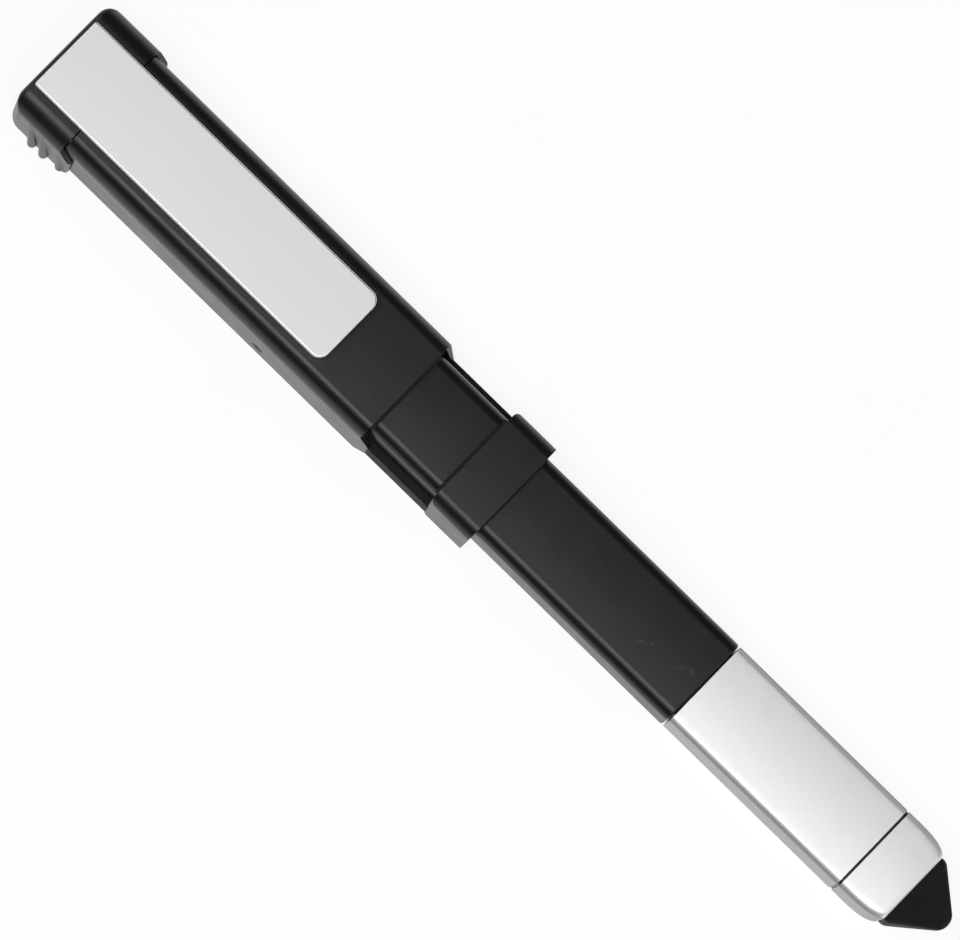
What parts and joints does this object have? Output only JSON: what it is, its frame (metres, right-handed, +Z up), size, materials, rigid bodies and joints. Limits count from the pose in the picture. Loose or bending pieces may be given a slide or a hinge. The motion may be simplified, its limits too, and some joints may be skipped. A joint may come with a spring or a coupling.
{
  "type": "multi-tool pen",
  "caption": "Flat rectangular pen with folding tools in a ribbed, clipped handle, a waist collar, a ballpoint and a soft stylus tip.",
  "frame": {"origin": "middle of the pen's length and width, at the level of its back, on which it lies", "axes": "+X along the pen to the stylus tip, +Y across it, +Z up out of the face that carries the clip"},
  "size_m": [0.15, 0.0186, 0.0144],
  "materials": {
    "black_plastic": "soft satin black with a faint orange-peel grain, brighter worn edges and a few scuffs",
    "dark_plastic": "plain matte black moulding",
    "dark_frame": "dark grey coated steel, satin",
    "clip_steel": "very fine satin, almost white, with bright rounded edges",
    "silver_coat": "fine bead-blasted silver with brighter edges",
    "tool_steel": "ground stainless steel",
    "brass_fitting": "turned brass, lightly dulled",
    "clear_tube": "milky extruded tube",
    "ink": "blue ink paste",
    "soft_rubber": "soft matte black silicone rubber"
  },
  "bodies": {
    "handle": {"cap": "black_plastic", "sleeve": "black_plastic", "collar": "black_plastic", "frame_left": "dark_frame", "frame_right": "dark_frame", "barrel": "black_plastic", "tool_pin": "tool_steel", "tang_pin": "dark_frame", "collar_pin": "dark_frame", "tool_washer_1": "brass_fitting", "tool_washer_2": "brass_fitting", "tool_washer_3": "brass_fitting", "tool_washer_4": "brass_fitting", "tool_washer_5": "brass_fitting", "tool_washer_6": "brass_fitting", "comb_spring": "tool_steel", "spring_rivet_1": "tool_steel", "spring_rivet_2": "tool_steel", "clip_spring": "tool_steel", "clip_rivet_1": "tool_steel", "clip_rivet_2": "tool_steel", "refill_holder": "dark_plastic", "refill_tube": "clear_tube", "refill_ink": "ink", "refill_point": "brass_fitting"},
    "clip": {"clip": "clip_steel"},
    "knife": {"knife_blade": "tool_steel"},
    "saw": {"saw_blade": "tool_steel"},
    "driver": {"cross_driver": "tool_steel"},
    "lifter": {"cap_lifter": "tool_steel"},
    "file": {"nail_file": "tool_steel"},
    "grip": {"grip": "silver_coat", "grip_insert": "dark_plastic"},
    "nose": {"nose_shell": "silver_coat", "nose_bush": "dark_plastic", "stylus_tip": "soft_rubber"}
  },
  "joints": [
    {"name": "clip_flex", "type": "hinge", "parent": "handle", "child": "clip", "pos_m": [-0.0738, 0, 0.0135], "axis": [0, -1, 0], "range_deg": [0, 5], "stiffness_Nm_per_rad": 1, "springref_deg": -1.15},
    {"name": "knife_hinge", "type": "hinge", "parent": "handle", "child": "knife", "pos_m": [-0.0692, -0.00493, 0.0044], "axis": [0, 1, 0], "range_deg": [0, 180]},
    {"name": "saw_hinge", "type": "hinge", "parent": "handle", "child": "saw", "pos_m": [-0.0692, -0.00247, 0.0044], "axis": [0, 1, 0], "range_deg": [0, 180]},
    {"name": "driver_hinge", "type": "hinge", "parent": "handle", "child": "driver", "pos_m": [-0.0692, 0, 0.0044], "axis": [0, 1, 0], "range_deg": [0, 180]},
    {"name": "lifter_hinge", "type": "hinge", "parent": "handle", "child": "lifter", "pos_m": [-0.0692, 0.00247, 0.0044], "axis": [0, 1, 0], "range_deg": [0, 180]},
    {"name": "file_hinge", "type": "hinge", "parent": "handle", "child": "file", "pos_m": [-0.0692, 0.00493, 0.0044], "axis": [0, 1, 0], "range_deg": [0, 180]},
    {"name": "grip_pull", "type": "slide", "parent": "handle", "child": "grip", "axis": [1, 0, 0], "range_m": [0, 0.036]},
    {"name": "nose_pull", "type": "slide", "parent": "grip", "child": "nose", "axis": [1, 0, 0], "range_m": [0, 0.02]}
  ]
}
